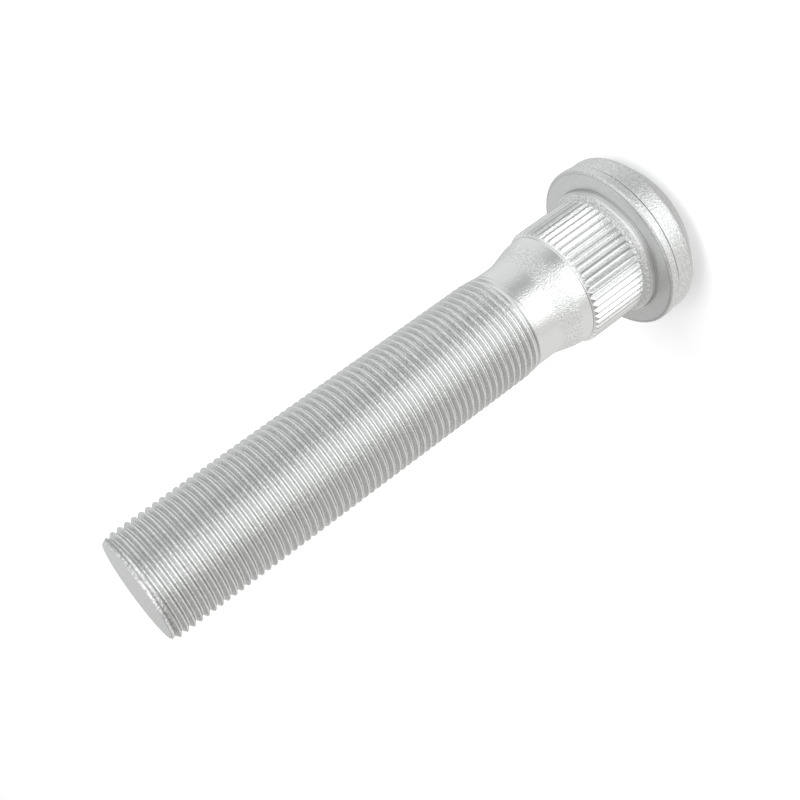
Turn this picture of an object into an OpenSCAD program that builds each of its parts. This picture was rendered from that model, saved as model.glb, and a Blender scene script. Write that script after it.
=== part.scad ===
// Wheel stud with a straight-knurled press-fit shank, a stepped round head and a metric fine thread.
// The stud stands on the outer face of its head: z = 0 is that face and +Z runs to the thread end.

/* [Lengths along the axis] */
// Thickness of the head, from its outer face to its seat
head_h = 10; // [7.5:0.1:16]
// Seat of the head to the edge of the collar
collar_h = 1.35; // [0.8:0.05:1.7]
// Seat of the head to the start of the knurl
knurl_start = 2.75; // [2.45:0.05:8]
// Length of the knurl, from its start to the edge of the neck
knurl_l = 13.1; // [8:0.1:30]
// Length of the neck that tapers from the knurl to the shank
taper_l = 7.2; // [5.5:0.1:12]
// Length of the plain shank between taper and thread
shank_l = 4.6; // [2:0.1:30]
// Length of the thread, with its run-out and end chamfer
thread_l = 87.35; // [40:0.05:110]

/* [Head] */
// Diameter of the front band, next to the seat
head_front_d = 35.7; // [35.2:0.1:44]
// Diameter of the rear band, next to the bevel
head_rear_d = 35.3; // [34:0.1:35.8]
// Height of the front band, from the seat to the parting groove
front_band_h = 2; // [1.5:0.1:4]
// Rounding between the seat and the front band
front_round = 0.8; // [0.3:0.05:1]
// Width of the parting groove between the bands
parting_w = 0.3; // [0.2:0.05:0.5]
// Height of the bevel around the outer face
bevel_h = 3.86; // [1.5:0.02:5]
// Diameter of the flat outer face inside the bevel
face_d = 26.8; // [20:0.1:30]
// Rounding between the bevel and the rear band
bevel_round = 2; // [0.5:0.1:2.2]
// Rounding between the bevel and the outer face
face_round = 0.8; // [0.3:0.1:2]

/* [Collar] */
// Diameter of the collar between seat and knurl
collar_d = 27.5; // [26.6:0.1:31]
// Rounding of the collar's edge
collar_round = 0.25; // [0.1:0.05:0.4]
// Fillet between collar and seat
seat_fillet = 0.35; // [0.1:0.05:0.6]

/* [Knurl] */
// Length of the relief between collar and teeth
relief_l = 0.2; // [0.1:0.05:0.4]
// Depth of the relief below the tooth gaps
relief_depth = 0.1; // [0.05:0.05:0.3]
// Diameter over the teeth
knurl_d = 25.6; // [25.2:0.05:27.4]
// Depth of a tooth
tooth_depth = 0.6; // [0.3:0.05:0.7]
// Number of teeth
tooth_count = 52; // [24:1:60]
// Width of the flat tip of a tooth
tip_w = 0.15; // [0.1:0.05:0.4]
// Length of the lead-in at the neck's end of the teeth
lead_l = 0.8; // [0.6:0.1:2.5]

/* [Neck and shank] */
// Diameter where the neck meets the knurl
neck_d = 24.15; // [23.7:0.05:24.3]
// Diameter at the shoulder of the taper
shoulder_d = 23.6; // [22.4:0.05:23.9]
// Length from the knurl to the shoulder of the taper
shoulder_l = 2.45; // [1:0.05:4]
// Diameter of the plain shank
shank_d = 21; // [20:0.05:21.4]
// Rounding at the shoulder of the taper
shoulder_round = 8; // [2:0.5:10]
// Hollow rounding where the taper meets the shank
taper_fillet = 6; // [1:0.5:8]

/* [Thread] */
// Outer diameter of the thread
thread_d = 22; // [21.6:0.05:24]
// Diameter of the flat face at the thread's end
end_face_d = 20.3; // [17:0.1:21]
// Length of the chamfer at the thread's end
end_chamfer_l = 0.95; // [0.3:0.05:3]
// Length over which the thread runs out into the shank
runout_l = 4; // [0.5:0.1:6]
// Rounding of the edge of the end face
end_round = 0.25; // [0.1:0.05:0.5]

/* [Hidden] */
$fn = 128;
seat_z = head_h;
collar_z = seat_z + collar_h;
knurl_z = seat_z + knurl_start;
neck_z = knurl_z + knurl_l;
shoulder_z = neck_z + shoulder_l;
shank_z = neck_z + taper_l;
thread_z = shank_z + shank_l;
end_z = thread_z + thread_l;
parting_z = seat_z - front_band_h;
root_r = knurl_d / 2 - tooth_depth;
relief_r = root_r - relief_depth;
relief_z = knurl_z - tooth_depth - relief_depth;
// Half the width of a tooth gap, level with the tips
gap_half_w = (PI * knurl_d / tooth_count - tip_w) / 2;
// How far a cutting shape reaches past the surface that it cuts
over = 1;

// One corner of the outline: radius, height and rounding, where 0 leaves it sharp
outline = [
    [0, 0, 0],
    [face_d / 2, 0, face_round],
    [head_rear_d / 2, bevel_h, bevel_round],
    [head_rear_d / 2, parting_z - parting_w, 0],
    [head_rear_d / 2 - parting_w / 2, parting_z - parting_w / 2, 0],
    [head_front_d / 2, parting_z, 0],
    [head_front_d / 2, seat_z, front_round],
    [collar_d / 2, seat_z, seat_fillet],
    [collar_d / 2, collar_z, collar_round],
    [relief_r, relief_z - relief_l, 0],
    [relief_r, relief_z, 0],
    [knurl_d / 2, knurl_z, 0],
    [knurl_d / 2, neck_z - lead_l, 0],
    [neck_d / 2, neck_z, 0],
    [shoulder_d / 2, shoulder_z, shoulder_round],
    [shank_d / 2, shank_z, taper_fillet],
    [shank_d / 2, thread_z, 0],
    [thread_d / 2, thread_z + runout_l, 0],
    [thread_d / 2, end_z - end_chamfer_l, 0],
    [end_face_d / 2, end_z, end_round],
    [0, end_z, 0]
];

function corner(i) = [outline[i][0], outline[i][1]];
function unit(v) = v / norm(v);
function turn(a, b) = a[0] * b[1] - a[1] * b[0];

// The sliver between a sharp corner and the arc that rounds it, tangent to both sides
module sliver(i) {
    p = corner(i);
    r = outline[i][2];
    back = unit(corner(i - 1) - p);
    ahead = unit(corner(i + 1) - p);
    half = acos(back * ahead) / 2;
    reach = r / tan(half);
    centre = p + unit(back + ahead) * r / sin(half);
    difference() {
        polygon([p, p + back * reach, centre, p + ahead * reach]);
        translate(centre) circle(r);
    }
}

// A corner stands out where the outline turns left, and is hollow where it turns right
function stands_out(i) = turn(corner(i) - corner(i - 1), corner(i + 1) - corner(i)) > 0;

// Half of the stud's section, with its round edges and fillets
module section() {
    last = len(outline) - 2;
    difference() {
        union() {
            polygon([for (i = [0 : len(outline) - 1]) corner(i)]);
            for (i = [1 : last]) if (outline[i][2] > 0 && !stands_out(i)) sliver(i);
        }
        for (i = [1 : last]) if (outline[i][2] > 0 && stands_out(i)) sliver(i);
    }
}

// One V-shaped gap between two teeth, cut along the shank
module tooth_gap() {
    depth = tooth_depth + over;
    half_w = gap_half_w * depth / tooth_depth;
    start = relief_z - relief_l / 2;
    translate([0, 0, start])
        linear_extrude(neck_z - start + over)
            polygon([[root_r, 0], [root_r + depth, half_w], [root_r + depth, -half_w]]);
}

// The whole stud, turned from one piece and knurled around the shank
module wheel_stud() {
    color([0.78, 0.79, 0.79])
        difference() {
            rotate_extrude() section();
            for (i = [0 : tooth_count - 1]) rotate([0, 0, i * 360 / tooth_count]) tooth_gap();
        }
}

wheel_stud();
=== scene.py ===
from math import acos, atan2, ceil, cos, degrees, pi, radians, sin, tan

import bmesh
import bpy
from mathutils import Matrix, Quaternion, Vector


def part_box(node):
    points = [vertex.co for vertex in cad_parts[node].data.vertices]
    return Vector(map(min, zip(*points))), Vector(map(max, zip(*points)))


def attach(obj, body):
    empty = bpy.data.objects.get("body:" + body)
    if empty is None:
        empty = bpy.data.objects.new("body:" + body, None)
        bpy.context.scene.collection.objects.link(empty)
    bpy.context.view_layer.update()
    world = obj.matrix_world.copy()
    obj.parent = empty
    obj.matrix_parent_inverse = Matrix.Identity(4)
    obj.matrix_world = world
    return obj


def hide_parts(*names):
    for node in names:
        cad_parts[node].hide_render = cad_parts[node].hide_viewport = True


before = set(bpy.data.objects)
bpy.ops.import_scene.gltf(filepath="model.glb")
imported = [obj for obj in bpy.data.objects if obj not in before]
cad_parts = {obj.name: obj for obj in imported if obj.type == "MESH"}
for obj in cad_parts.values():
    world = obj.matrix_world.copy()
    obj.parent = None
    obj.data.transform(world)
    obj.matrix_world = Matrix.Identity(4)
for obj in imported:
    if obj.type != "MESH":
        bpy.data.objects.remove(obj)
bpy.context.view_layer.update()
mm = 0.001
lowest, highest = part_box("wheel_stud")
totalLength = (highest[2] - lowest[2]) / mm
print("frame loaded, the stud is", round(totalLength, 2), "mm long")

# Where the photograph's camera stands, in mm and degrees, with the stud on its head at the origin
view = {
    "lens": 60.34,
    "sensor": 36,
    "nearest": 10,              # nothing closer to the camera is drawn
    "place": (-10.4, -238.2, 149.87),
    "azimuth": 87.52,
    "elevation": -19.6,
    "roll": 126.09,
    "turn": 3.2,                # turn about the stud's axis that brings the teeth to their place
}


def makeCamera():
    azimuth = radians(view["azimuth"])
    elevation = radians(view["elevation"])
    look = Vector((cos(elevation) * cos(azimuth), cos(elevation) * sin(azimuth), sin(elevation)))
    data = bpy.data.cameras.new("camera")
    data.lens = view["lens"]
    data.sensor_width = view["sensor"]
    data.clip_start = view["nearest"] * mm
    camera = bpy.data.objects.new("camera", data)
    turn = Matrix.Rotation(radians(view["turn"]), 3, "Z")
    look = turn @ look
    camera.location = turn @ Vector(view["place"]) * mm
    camera.rotation_mode = "QUATERNION"
    level = look.to_track_quat("-Z", "Y")
    camera.rotation_quaternion = Quaternion(look, radians(view["roll"])) @ level
    bpy.context.collection.objects.link(camera)
    bpy.context.scene.camera = camera


makeCamera()
print("camera placed")

# Sizes of the stud in mm; heights count from the head's outer face
stud = {
    "columns": 104,             # points around the plain forms
    "arcStep": 9.0,             # degrees between points on a rounded corner
    "sharpAngle": 38,           # edges that turn more than this stay crisp
    "axisRadius": 0.01,         # smallest ring, around the middle of the outer face
    "faceRadius": 13.4,
    "faceRound": 0.8,
    "bevelHeight": 3.86,
    "bevelRound": 2.0,
    "headRear": 17.65,          # radius of the band next to the bevel
    "rearDraft": 0.02,          # how much that band narrows towards the parting groove
    "rearEdgeRound": 0.05,
    "partingHeight": 8.15,
    "partingWidth": 0.3,
    "partingDepth": 0.28,
    "partingRound": 0.03,
    "frontEdgeRound": 0.08,
    "headFront": 17.85,         # radius of the band next to the seat
    "headHeight": 10.0,
    "seatRound": 0.6,           # between that band and the seat
    "collarFillet": 0.2,
    "collarRadius": 13.75,
    "collarHeight": 11.35,
    "collarRound": 0.25,
    "ledgeGap": 0.05,           # from the end of the teeth to the ledge's outline
    "ledgeHeight": 25.66,       # small ledge where the knurl's ground begins
    "ledgeRadius": 12.24,
    "ledgeRound": 0.06,
    "neckHeight": 25.85,
    "neckRadius": 12.05,
    "neckRound": 0.08,
    "shoulderHeight": 28.3,
    "shoulderRadius": 11.8,
    "shoulderRound": 8.0,
    "shankHeight": 33.05,
    "shankRadius": 10.5,
    "shankFillet": 6.0,
}

knurl = {
    "teeth": 52,
    "columnsPerTooth": 10,
    "tipRadius": 12.8,
    "depth": 0.6,
    "flank": 40.0,              # slope of a tooth's sides, in degrees
    "crown": 0.16,              # softness of a tooth's tip
    "reliefRadius": 12.1,
    "reliefHeight": 12.05,      # where the teeth begin to rise out of the relief
    "reliefLength": 0.2,
    "reliefRound": 0.12,
    "tipStart": 12.75,
    "leadEnd": 25.5,            # height where the teeth have sunk into the ground
    "leadLength": 0.7,
    "endSoftness": 0.07,
    "rowStep": 0.1,             # between the rows of points at both ends of the teeth
    "bevelRows": 10,
    "sideRows": (13.1, 13.3, 22.5, 24.5),
    "leadRows": 9,
    "leadRowsLength": 0.85,     # from the first of those rows to the end of the teeth
}

thread = {
    "pitch": 1.5,
    "crestRadius": 10.98,
    "start": 37.65,             # height where the run-out begins
    "runout": 5.2,              # length over which the crests rise from the shank
    "rootRunout": 2.8,          # length over which the grooves reach their depth
    "crestSoftness": 0.05,
    "plainLead": 0.3,           # plain stretch below the start where the thread's rows begin
    "shankGap": 0.4,            # from the start down to the end of the shank's outline
    "phase": -0.27,             # shift of the helix along the axis
    "spareTurns": 2,            # past both ends, where they are clamped
    "snap": 0.02,               # a point this close to an end is laid on it
    "profile": [                # distance from the crest's middle and drop from the crest
        (0.0, 0.0), (0.075, 0.005), (0.13, 0.034), (0.17, 0.092), (0.61, 0.7), (0.66, 0.755),
        (0.75, 0.77), (0.84, 0.755), (0.89, 0.7), (1.32, 0.096), (1.365, 0.035), (1.425, 0.005),
    ],
    "firstTurn": [              # distance from the end face and the largest radius there
        (0.12, 10.27), (0.2, 10.42), (0.55, 10.47), (0.9, 10.64), (1.35, 10.98),
    ],
    "firstTurnSoftness": 0.03,
    "endRadius": 10.15,         # radius of the flat end face
    "endBevel": 0.12,           # narrow bevel around it
    "endEdge": [(-0.05, 0.04), (0.0, 0.01), (0.05, 0.0), (0.3, 0.0)],   # inset and drop
}

levelTolerance = 0.001          # mm, by which a point may miss the height that it is looked for at
angleTolerance = 1e-6           # radians, below a whole turn, that count as the start of the turn
mergeDistance = 0.0002          # mm


def roundedOutline(corners):
    # Each corner has its radius, its height and its rounding, where 0 leaves it sharp
    points = []
    for i, (r, z, rounding) in enumerate(corners):
        if not rounding:
            points.append((r, z))
            continue
        here = Vector((r, z))
        back = (Vector(corners[i - 1][:2]) - here).normalized()
        ahead = (Vector(corners[i + 1][:2]) - here).normalized()
        half = acos(max(-1, min(1, back.dot(ahead)))) / 2
        centre = here + (back + ahead).normalized() * rounding / sin(half)
        first = here + back * rounding / tan(half) - centre
        last = here + ahead * rounding / tan(half) - centre
        sweep = atan2(first.x * last.y - first.y * last.x, first.dot(last))
        steps = max(2, ceil(abs(degrees(sweep)) / stud["arcStep"]))
        for k in range(steps + 1):
            a = sweep * k / steps
            x = centre.x + first.x * cos(a) - first.y * sin(a)
            y = centre.y + first.x * sin(a) + first.y * cos(a)
            points.append((x, y))
    return points


class Skin:
    def __init__(self):
        self.mesh = bmesh.new()

    def ring(self, count, place):
        # place gives the radius and height in mm for an angle and the number of its column
        ring = []
        for k in range(count):
            a = 2 * pi * k / count
            r, z = place(a, k)
            ring.append(self.mesh.verts.new((r * cos(a) * mm, r * sin(a) * mm, z * mm)))
        return ring

    def join(self, a, b):
        # Faces between two rings, where one may have a whole multiple of the other's points
        if len(a) == len(b):
            n = len(a)
            for k in range(n):
                self.mesh.faces.new((a[k], a[(k + 1) % n], b[(k + 1) % n], b[k]))
            return
        fine, rough = (a, b) if len(a) > len(b) else (b, a)
        share = len(fine) // len(rough)
        flip = fine is b
        for k in range(len(rough)):
            for j in range(share):
                corner = rough[k] if j < share - share // 2 else rough[(k + 1) % len(rough)]
                p, q = fine[k * share + j], fine[(k * share + j + 1) % len(fine)]
                self.mesh.faces.new((p, corner, q) if flip else (p, q, corner))
            middle = fine[k * share + share - share // 2]
            pair = (rough[k], rough[(k + 1) % len(rough)], middle)
            self.mesh.faces.new(pair if flip else (pair[1], pair[0], pair[2]))

    def follow(self, ring, count, place):
        following = self.ring(count, place)
        self.join(ring, following)
        return following

    def turned(self, ring, outline):
        # Carries the skin on through points given as radius and height
        for r, z in outline:
            ring = self.follow(ring, stud["columns"], lambda a, k: (r, z))
        return ring

    def fan(self, ring, z, up):
        centre = self.mesh.verts.new((0, 0, z * mm))
        n = len(ring)
        for k in range(n):
            p, q = ring[k], ring[(k + 1) % n]
            self.mesh.faces.new((p, q, centre) if up else (q, p, centre))

    def edgeRing(self, z):
        # Open edge at a height, in the order of a ring
        near = levelTolerance * mm
        found = [v for v in self.mesh.verts if v.is_boundary and abs(v.co.z - z * mm) < near]
        return sorted(found, key=lambda v: atan2(v.co.y, v.co.x) % (2 * pi - angleTolerance))


def headOutline():
    s = stud
    k = knurl
    rear = s["partingHeight"] - s["partingWidth"]
    middle = s["partingHeight"] - s["partingWidth"] / 2
    corners = [
        (s["axisRadius"], 0, 0),
        (s["faceRadius"], 0, s["faceRound"]),
        (s["headRear"], s["bevelHeight"], s["bevelRound"]),
        (s["headRear"] - s["rearDraft"], rear, s["rearEdgeRound"]),
        (s["headRear"] - s["partingDepth"], middle, s["partingRound"]),
        (s["headFront"], s["partingHeight"], s["frontEdgeRound"]),
        (s["headFront"], s["headHeight"], s["seatRound"]),
        (s["collarRadius"], s["headHeight"], s["collarFillet"]),
        (s["collarRadius"], s["collarHeight"], s["collarRound"]),
        (k["reliefRadius"], k["reliefHeight"] - k["reliefLength"], k["reliefRound"]),
        (k["reliefRadius"], k["reliefHeight"], 0),
    ]
    return roundedOutline(corners)


def neckOutline():
    s = stud
    ground = knurl["tipRadius"] - knurl["depth"]
    corners = [
        (ground, knurl["leadEnd"] + s["ledgeGap"], 0),
        (s["ledgeRadius"], s["ledgeHeight"], s["ledgeRound"]),
        (s["neckRadius"], s["neckHeight"], s["neckRound"]),
        (s["shoulderRadius"], s["shoulderHeight"], s["shoulderRound"]),
        (s["shankRadius"], s["shankHeight"], s["shankFillet"]),
        (s["shankRadius"], thread["start"] - thread["shankGap"], 0),
    ]
    return roundedOutline(corners)


def softMin(a, b, softness):
    gap = max(softness - abs(a - b), 0) / softness
    return min(a, b) - gap * gap * softness / 4


def toothRadius(angle):
    # Roof-shaped teeth with soft tips and narrow grooves between them
    k = knurl
    turn = angle * k["teeth"] / (2 * pi)
    away = abs(turn - round(turn)) * 2 * pi * k["tipRadius"] / k["teeth"]
    rise = away * tan(radians(k["flank"]))
    return k["tipRadius"] - k["depth"] + softMin(rise, k["depth"], k["crown"])


def knurlRadius(angle, z):
    # The teeth, bevelled at the relief and sinking into the ground at the neck
    k = knurl
    bevel = k["reliefRadius"] + (z - k["reliefHeight"])
    ground = k["tipRadius"] - k["depth"]
    lead = ground + (k["leadEnd"] - z) * k["depth"] / k["leadLength"]
    return softMin(toothRadius(angle), min(bevel, lead), k["endSoftness"])


def knurlRows():
    k = knurl
    bevel = [k["reliefHeight"] + k["rowStep"] * j for j in range(k["bevelRows"])]
    lead = [k["leadEnd"] - k["leadRowsLength"] + k["rowStep"] * j for j in range(k["leadRows"])]
    return bevel + list(k["sideRows"]) + lead + [k["leadEnd"]]


def valueAlong(points, x):
    # Straight lines through a list of points, with its end values past either end
    for (x0, y0), (x1, y1) in zip(points, points[1:]):
        if x <= x1:
            return y0 + (y1 - y0) * max(0, x - x0) / (x1 - x0)
    return points[-1][1]


def threadDrop(away):
    # Depth below the crest at a distance from the crest's middle
    t = thread
    return valueAlong(t["profile"] + [(t["pitch"], t["profile"][0][1])], away % t["pitch"])


def threadRadius(angle, z):
    t = thread
    shank = stud["shankRadius"]
    root = t["crestRadius"] - max(drop for away, drop in t["profile"])
    away = z - t["phase"] - t["pitch"] * angle / (2 * pi)
    full = t["crestRadius"] - threadDrop(away)
    risen = sin(pi / 2 * min(1, max(0, (z - t["start"]) / t["runout"])))
    crest = shank + (t["crestRadius"] - shank) * risen
    cut = sin(pi / 2 * min(1, max(0, (z - t["start"]) / t["rootRunout"])))
    r = softMin(full + (shank - root) * (1 - cut), crest, t["crestSoftness"])

    # The first turn is worn down; past it the limit rises out of the way
    fromEnd = totalLength - z
    largest = valueAlong(t["firstTurn"], fromEnd) + max(0, fromEnd - t["firstTurn"][-1][0])
    return softMin(r, largest, t["firstTurnSoftness"])


def threadEnds():
    # Heights between which the thread's rows lie
    return thread["start"] - thread["plainLead"], totalLength - thread["endBevel"]


def threadRings(skin):
    # Rows follow the helix, and those past either end are clamped to it and merged away
    t = thread
    n = stud["columns"]
    rows = len(t["profile"])
    bottom, top = threadEnds()
    first = int((bottom - t["phase"]) / t["pitch"]) - t["spareTurns"]
    turns = ceil((top - bottom) / t["pitch"]) + 2 * t["spareTurns"]
    grid = []
    for g in range(turns * rows):
        base = t["phase"] + (first + g // rows) * t["pitch"] + t["profile"][g % rows][0]

        def place(a, k):
            z = base + t["pitch"] * k / n
            z = min(top, max(bottom, z))
            z = bottom if z - bottom < t["snap"] else z
            z = top if top - z < t["snap"] else z
            return threadRadius(a, z), z

        grid.append(skin.ring(n, place))
    for g in range(len(grid) - rows - 1):
        lower, upper = grid[g], grid[g + 1]
        for k in range(n):
            if k < n - 1:
                corners = (lower[k], lower[k + 1], upper[k + 1], upper[k])
            else:
                # After a whole turn the row runs on a pitch higher
                corners = (lower[k], grid[g + rows][0], grid[g + rows + 1][0], upper[k])
            zs = [round(v.co.z, 7) for v in corners]
            if max(zs) > min(zs):
                skin.mesh.faces.new(corners)
    points = [v for ring in grid for v in ring]
    bmesh.ops.remove_doubles(skin.mesh, verts=points, dist=mergeDistance * mm)
    loose = [v for v in skin.mesh.verts if not v.link_faces]
    bmesh.ops.delete(skin.mesh, geom=loose, context="VERTS")


def makeStud():
    n = stud["columns"]
    skin = Skin()
    threadRings(skin)
    bottom, top = threadEnds()
    threadFoot = skin.edgeRing(bottom)
    ring = skin.edgeRing(top)
    print("thread cut,", len(skin.mesh.verts), "points,", len(threadFoot), len(ring), "at its ends")
    endEdge = [(thread["endRadius"] - inset, totalLength - drop) for inset, drop in thread["endEdge"]]
    skin.fan(skin.turned(ring, endEdge), totalLength, True)

    outline = headOutline()
    ring = skin.ring(n, lambda a, k: outline[0])
    skin.fan(ring, 0, False)
    ring = skin.turned(ring, outline[1:])
    fineColumns = knurl["teeth"] * knurl["columnsPerTooth"]
    for z in knurlRows():
        ring = skin.follow(ring, fineColumns, lambda a, k: (knurlRadius(a, z), z))
    skin.join(skin.turned(ring, neckOutline()), threadFoot)
    bmesh.ops.recalc_face_normals(skin.mesh, faces=skin.mesh.faces)
    data = bpy.data.meshes.new("stud")
    skin.mesh.to_mesh(data)
    skin.mesh.free()
    for face in data.polygons:
        face.use_smooth = True
    data.set_sharp_from_angle(angle=radians(stud["sharpAngle"]))
    body = bpy.data.objects.new("stud", data)
    bpy.context.collection.objects.link(body)
    return body


studBody = makeStud()
print("stud made,", len(studBody.data.polygons), "faces")

seat = stud["headHeight"]
seatEnd = stud["headFront"] - stud["seatRound"]
collar = stud["collarRadius"]
crease = stud["partingHeight"] - stud["partingWidth"] / 2
teethStretch = (knurl["tipStart"] + 0.3, knurl["leadEnd"] - 0.5, 0.3)
threadStep = (39.0, 41.0)

# Where the finishes differ and where shade is painted: heights and radii in mm, how far the surface faces
# up (1) or down (-1), and the share of the way from a tooth's tip (0) to a gap (0.5). A pair fades in from
# its first value to its second, and three values are a stretch and the width in which it fades away at
# both ends.
# The zones parting, seatEdge, collarFoot, the teeth's tips and gaps, flanks, lastTurn and firstGroove mark
# where shade is painted
zones = {
    "head": {"height": (seat + 0.1, seat - 0.1)},
    "parting": {"height": (crease - 0.07, crease + 0.07, 0.07)},
    "seat": {"height": (seat - 0.15, seat + 0.05, 0.1), "radius": (seatEnd + 0.25, seatEnd - 0.05)},
    "seatEdge": {"height": (seat - 0.1, seat - 0.05), "radius": (seatEnd - 0.05, seatEnd + 0.05, 0.06)},
    "collarFoot": {"height": (seat + 0.01, seat + 0.3, 0.2), "radius": (collar - 0.05, collar + 0.2, 0.1)},
    "relief": {"height": (11.5, 12.5, 0.12)},
    "knurl": {"height": (12.4, knurl["leadEnd"], 0.2)},
    "tipShade": {"height": teethStretch, "fromTip": (0.15, 0.05)},     # painted shade along the tips of the teeth
    "gaps": {"height": teethStretch, "fromTip": (0.38, 0.48)},
    "taper": {"height": (29.0, 31.0, 2.5)},
    "taperGrain": {"height": (29.5, 31.5, 2.5)},
    "lastTurn": {"height": (thread["start"], thread["start"] + 0.9, 0.7), "facing": (0.05, 0.4)},
    "thread": {"height": threadStep},
    "flanks": {"height": threadStep, "facing": (-0.5, -0.75)},
    "nearEnd": {"height": (totalLength - 16, totalLength - 4)},
    "firstTurn": {"height": (totalLength - 1.2, totalLength - 0.1, 0.1)},
    "firstGroove": {"height": (totalLength - 0.8, totalLength - 0.6, 0.15)},
    "endFace": {"height": (totalLength - 0.02, totalLength - 0.005)},
}

# The plating's own look, how it differs in the zones, and the shade painted into its colour
plating = {
    "colour": (0.79, 0.795, 0.79),
    "tone": {"head": -0.08, "knurl": 0.1, "relief": 0.05},      # share by which a zone is lighter
    "mottleSize": 0.38,         # mm, patches of lighter and darker plating
    "mottleDetail": 3,
    "mottle": {
        "thread": 0.28, "taper": 0.75, "head": 0.65, "firstTurn": 1.1, "relief": 0.9, "nearEnd": 0.45,
    },
    # Painted shade: a dark colour mixed into the plating in the parting crease, at the seat's edge and the
    # collar's foot, in the gaps and along the tips of the teeth, on the thread's downward flanks, on the
    # last turn and in the first groove
    "paintedShadeColour": (0.16, 0.16, 0.155, 1),
    "paintedShade": {                   # share of the painted shade colour in a zone
        "flanks": 0.4, "collarFoot": 0.4, "seatEdge": 0.4, "firstGroove": 0.5, "lastTurn": 0.28,
        "tipShade": 0.55, "gaps": 0.2, "parting": 0.95,
    },
    "roughness": 0.15,
    "zoneRoughness": {"head": 0.24, "thread": 0.18, "knurl": 0.18, "flat": 0.45},
    "grainLayers": [(0.34, 0.06), (0.22, 0.026)],   # size and depth in mm
    "grainDetail": 2,
    "grain": {"taperGrain": 1.25, "thread": 0.7, "relief": 2.5, "head": 1.1},   # added to 1
    "waveSize": 1.2,            # mm, slower waves on the thread
    "waveDepth": 0.09,
    "waveDetail": 1,
    "calm": 0.8,                # share of the grain that the flat faces lack
}


def mathNode(tree, kind, a, b=0.0):
    node = tree.nodes.new("ShaderNodeMath")
    node.operation = kind
    for socket, value in zip(node.inputs, (a, b)):
        if isinstance(value, (int, float)):
            socket.default_value = value
        else:
            tree.links.new(value, socket)
    return node.outputs[0]


def chain(tree, kind, parts):
    # Adds or multiplies any number of values
    result = parts[0]
    for part in parts[1:]:
        result = mathNode(tree, kind, result, part)
    return result


def mixNode(tree, kind, factor, a, b):
    node = tree.nodes.new("ShaderNodeMix")
    node.data_type = kind
    tree.links.new(factor, node.inputs["Factor"])
    sockets = [socket for socket in node.inputs if socket.name in "AB" and socket.enabled]
    for socket, value in zip(sockets, (a, b)):
        if isinstance(value, (int, float, tuple)):
            socket.default_value = value
        else:
            tree.links.new(value, socket)
    return next(socket for socket in node.outputs if socket.enabled)


def splitNode(tree, vector):
    node = tree.nodes.new("ShaderNodeSeparateXYZ")
    tree.links.new(vector, node.inputs[0])
    return node.outputs


def noiseNode(tree, place, size, detail):
    node = tree.nodes.new("ShaderNodeTexNoise")
    node.inputs["Scale"].default_value = 1 / (size * mm)
    node.inputs["Detail"].default_value = detail
    tree.links.new(place, node.inputs["Vector"])
    return node.outputs["Fac"]


def fade(tree, value, start, end):
    # Smooth step from 0 at the start to 1 at the end
    node = tree.nodes.new("ShaderNodeMapRange")
    node.interpolation_type = "SMOOTHSTEP"
    node.inputs["From Min"].default_value = start
    node.inputs["From Max"].default_value = end
    tree.links.new(value, node.inputs["Value"])
    return node.outputs["Result"]


def spanMask(tree, value, span):
    if len(span) == 2:
        return fade(tree, value, *span)
    low, high, soft = span
    rise = fade(tree, value, low - soft, low)
    fall = fade(tree, value, high + soft, high)
    return mathNode(tree, "MULTIPLY", rise, fall)


def zoneMasks(tree, place):
    # A mask for each zone, 1 inside and 0 outside
    x, y, height = [mathNode(tree, "DIVIDE", value, mm) for value in splitNode(tree, place)]
    across = mathNode(tree, "ADD", mathNode(tree, "MULTIPLY", x, x), mathNode(tree, "MULTIPLY", y, y))
    normal = tree.nodes.new("ShaderNodeNewGeometry").outputs["Normal"]
    turn = mathNode(tree, "MULTIPLY", mathNode(tree, "ARCTAN2", y, x), knurl["teeth"] / (2 * pi))
    fromTip = mathNode(tree, "SUBTRACT", mathNode(tree, "FRACT", turn), 0.5)
    measures = {
        "height": height,
        "radius": mathNode(tree, "SQRT", across),
        "facing": splitNode(tree, normal)["Z"],
        "fromTip": mathNode(tree, "ABSOLUTE", fromTip),
    }
    masks = {}
    for name, spans in zones.items():
        parts = [spanMask(tree, measures[kind], span) for kind, span in spans.items()]
        masks[name] = chain(tree, "MULTIPLY", parts)
    masks["flat"] = mathNode(tree, "MAXIMUM", masks["seat"], masks["endFace"])
    return masks


def addUp(tree, masks, amounts):
    # The sum of masks, each times its amount
    parts = [mathNode(tree, "MULTIPLY", masks[name], amount) for name, amount in amounts.items()]
    return chain(tree, "ADD", parts)


def platingColour(tree, place, masks):
    # The noise is 0.5 in the middle, so that the patches lighten as much as they darken
    p = plating
    patches = mathNode(tree, "SUBTRACT", noiseNode(tree, place, p["mottleSize"], p["mottleDetail"]), 0.5)
    mottle = mathNode(tree, "MULTIPLY", patches, addUp(tree, masks, p["mottle"]))
    tone = chain(tree, "ADD", [mottle, addUp(tree, masks, p["tone"]), 1])
    clean = tree.nodes.new("ShaderNodeVectorMath")
    clean.operation = "SCALE"
    clean.inputs[0].default_value = p["colour"]
    tree.links.new(tone, clean.inputs["Scale"])
    # Painted shade: the dark colour is mixed in by each zone's share
    return mixNode(tree, "RGBA", addUp(tree, masks, p["paintedShade"]), clean.outputs[0], p["paintedShadeColour"])


def platingHeight(tree, place, masks):
    # Grain of the blank and the plating, and slow waves that the rolling left on the thread
    p = plating
    layers = []
    for size, depth in p["grainLayers"]:
        noise = noiseNode(tree, place, size, p["grainDetail"])
        layers.append(mathNode(tree, "MULTIPLY", noise, depth * mm))
    more = mathNode(tree, "ADD", addUp(tree, masks, p["grain"]), 1)
    grain = mathNode(tree, "MULTIPLY", chain(tree, "ADD", layers), more)
    waves = noiseNode(tree, place, p["waveSize"], p["waveDetail"])
    waves = chain(tree, "MULTIPLY", [waves, masks["thread"], p["waveDepth"] * mm])
    return mathNode(tree, "ADD", grain, waves)


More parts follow.
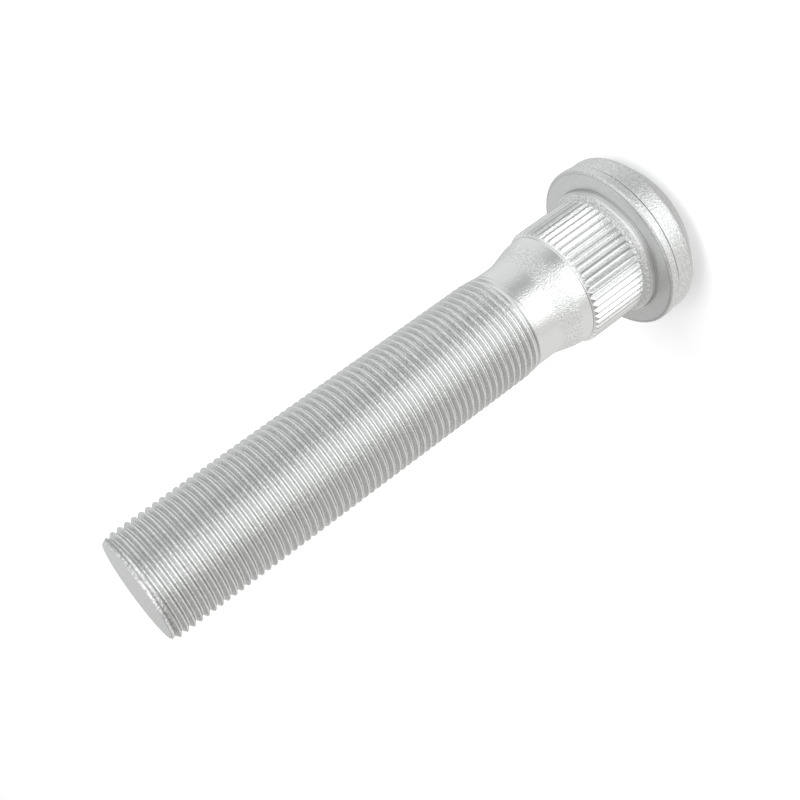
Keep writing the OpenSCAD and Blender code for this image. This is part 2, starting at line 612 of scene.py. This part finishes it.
def makePlating():
    material = bpy.data.materials.new("zincPlating")
    material.use_nodes = True
    tree = material.node_tree
    shader = tree.nodes["Principled BSDF"]
    shader.inputs["Metallic"].default_value = 1
    place = tree.nodes.new("ShaderNodeTexCoord").outputs["Object"]
    masks = zoneMasks(tree, place)
    tree.links.new(platingColour(tree, place, masks), shader.inputs["Base Color"])

    roughness = plating["roughness"]
    for name, value in plating["zoneRoughness"].items():
        roughness = mixNode(tree, "FLOAT", masks[name], roughness, value)
    tree.links.new(roughness, shader.inputs["Roughness"])

    bump = tree.nodes.new("ShaderNodeBump")
    bump.inputs["Distance"].default_value = 1
    lacking = mathNode(tree, "MULTIPLY", masks["flat"], plating["calm"])
    tree.links.new(mathNode(tree, "SUBTRACT", 1, lacking), bump.inputs["Strength"])
    tree.links.new(platingHeight(tree, place, masks), bump.inputs["Height"])
    tree.links.new(bump.outputs["Normal"], shader.inputs["Normal"])
    return material


studBody.data.materials.append(makePlating())
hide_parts("wheel_stud")
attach(studBody, "root")
print("stud plated")

# Brightness of the studio around the stud, by the angle from the camera's side in degrees: below the
# horizon, which the upright surfaces show, and high up, which the thread's sides and the edges show
studio = {
    "facing": -92.5,
    "blendStart": -4.0,         # degrees above the horizon
    "blendEnd": 27.0,
    "low": [
        (-180, 0.6), (-150, 0.78), (-125, 0.9), (-90, 0.87), (-76, 0.86), (-66, 0.77), (-57, 0.6),
        (-47, 0.52), (-34, 0.57), (-23, 0.82), (-12, 1.6), (33, 1.6), (47, 0.9), (60, 0.75), (80, 0.88),
        (140, 0.84), (180, 0.74),
    ],
    "high": [
        (-180, 0.84), (-168, 0.8), (-150, 0.72), (-130, 0.54), (-110, 0.5), (-92, 1.0), (-26, 1.05),
        (-10, 1.1), (20, 1.0), (42, 0.5), (60, 0.38), (110, 0.48), (132, 0.5), (150, 0.34), (168, 0.36),
        (180, 0.58),
    ],
    "coolTint": (0.985, 1.0, 1.0),
    "warmTint": (1.0, 1.0, 0.98),
    "warmFrom": 40,             # degrees from the camera's side
    "zenith": (1.1, 1.1, 1.1, 1),
    "zenithStart": 55.0,
    "zenithEnd": 68.0,
    "under": (0.66, 0.66, 0.66, 1),
    "underStart": -42.0,
    "underEnd": -66.0,
    "background": (1, 1, 1, 1),
}


def bandRamp(tree, around, bands):
    ramp = tree.nodes.new("ShaderNodeValToRGB")
    stops = ramp.color_ramp.elements
    while len(stops) < len(bands):
        stops.new(0.5)
    for stop, (degree, level) in zip(stops, bands):
        stop.position = (degree + 180) / 360
        tint = studio["coolTint"] if degree < studio["warmFrom"] else studio["warmTint"]
        stop.color = tuple(level * share for share in tint) + (1,)
    tree.links.new(around, ramp.inputs[0])
    return ramp.outputs["Color"]


def makeStudio():
    world = bpy.data.worlds.new("studio")
    bpy.context.scene.world = world
    world.use_nodes = True
    tree = world.node_tree
    x, y, z = splitNode(tree, tree.nodes.new("ShaderNodeTexCoord").outputs["Generated"])
    facing = radians(studio["facing"] + view["turn"])

    # Direction turned so that the camera's side is at zero
    forward = mathNode(tree, "ADD", mathNode(tree, "MULTIPLY", x, cos(facing)),
                       mathNode(tree, "MULTIPLY", y, sin(facing)))
    side = mathNode(tree, "SUBTRACT", mathNode(tree, "MULTIPLY", x, sin(facing)),
                    mathNode(tree, "MULTIPLY", y, cos(facing)))
    angle = mathNode(tree, "ARCTAN2", side, forward)
    share = mathNode(tree, "ADD", mathNode(tree, "DIVIDE", angle, 2 * pi), 0.5)
    elevation = mathNode(tree, "ARCSINE", z)
    rise = fade(tree, elevation, radians(studio["blendStart"]), radians(studio["blendEnd"]))
    around = mixNode(tree, "RGBA", rise, bandRamp(tree, share, studio["low"]),
                     bandRamp(tree, share, studio["high"]))
    for name in ("zenith", "under"):
        start = radians(studio[name + "Start"])
        end = radians(studio[name + "End"])
        around = mixNode(tree, "RGBA", fade(tree, elevation, start, end), around, studio[name])
    seen = tree.nodes.new("ShaderNodeLightPath").outputs["Is Camera Ray"]
    colour = mixNode(tree, "RGBA", seen, around, studio["background"])
    tree.links.new(colour, tree.nodes["Background"].inputs["Color"])


paleFloor = {
    "reach": 30,                # m, to each side
    "colour": (0.85, 0.85, 0.85, 1),
    "roughness": 0.9,
    "glow": 0.26,               # only for the camera, so that the floor is as white as the background
}


def makeFloor():
    reach = paleFloor["reach"]
    corners = [(-reach, -reach, 0), (reach, -reach, 0), (reach, reach, 0), (-reach, reach, 0)]
    data = bpy.data.meshes.new("floor")
    data.from_pydata(corners, [], [(0, 1, 2, 3)])
    floor = bpy.data.objects.new("floor", data)
    bpy.context.collection.objects.link(floor)
    material = bpy.data.materials.new("paleFloor")
    material.use_nodes = True
    tree = material.node_tree
    shader = tree.nodes["Principled BSDF"]
    shader.inputs["Base Color"].default_value = paleFloor["colour"]
    shader.inputs["Roughness"].default_value = paleFloor["roughness"]
    shader.inputs["Specular IOR Level"].default_value = 0
    shader.inputs["Emission Color"].default_value = (1, 1, 1, 1)
    seen = tree.nodes.new("ShaderNodeLightPath").outputs["Is Camera Ray"]
    glow = mathNode(tree, "MULTIPLY", seen, paleFloor["glow"])
    tree.links.new(glow, shader.inputs["Emission Strength"])
    data.materials.append(material)
    floor.visible_glossy = False


# A wide, soft light for the shadow on the floor; the metal shows only the studio around it
softbox = {
    "power": 1.2,
    "width": 40,                # degrees, as seen from the stud
    "direction": (-0.5, 0.4, -1),
}


def makeLamp():
    data = bpy.data.lights.new("softbox", "SUN")
    data.energy = softbox["power"]
    data.angle = radians(softbox["width"])
    lamp = bpy.data.objects.new("softbox", data)
    lamp.rotation_mode = "QUATERNION"
    lamp.rotation_quaternion = Vector(softbox["direction"]).to_track_quat("-Z", "Y")
    lamp.visible_glossy = False
    bpy.context.collection.objects.link(lamp)


makeStudio()
makeFloor()
makeLamp()
bpy.context.scene.view_settings.view_transform = "Standard"
print("studio lit")
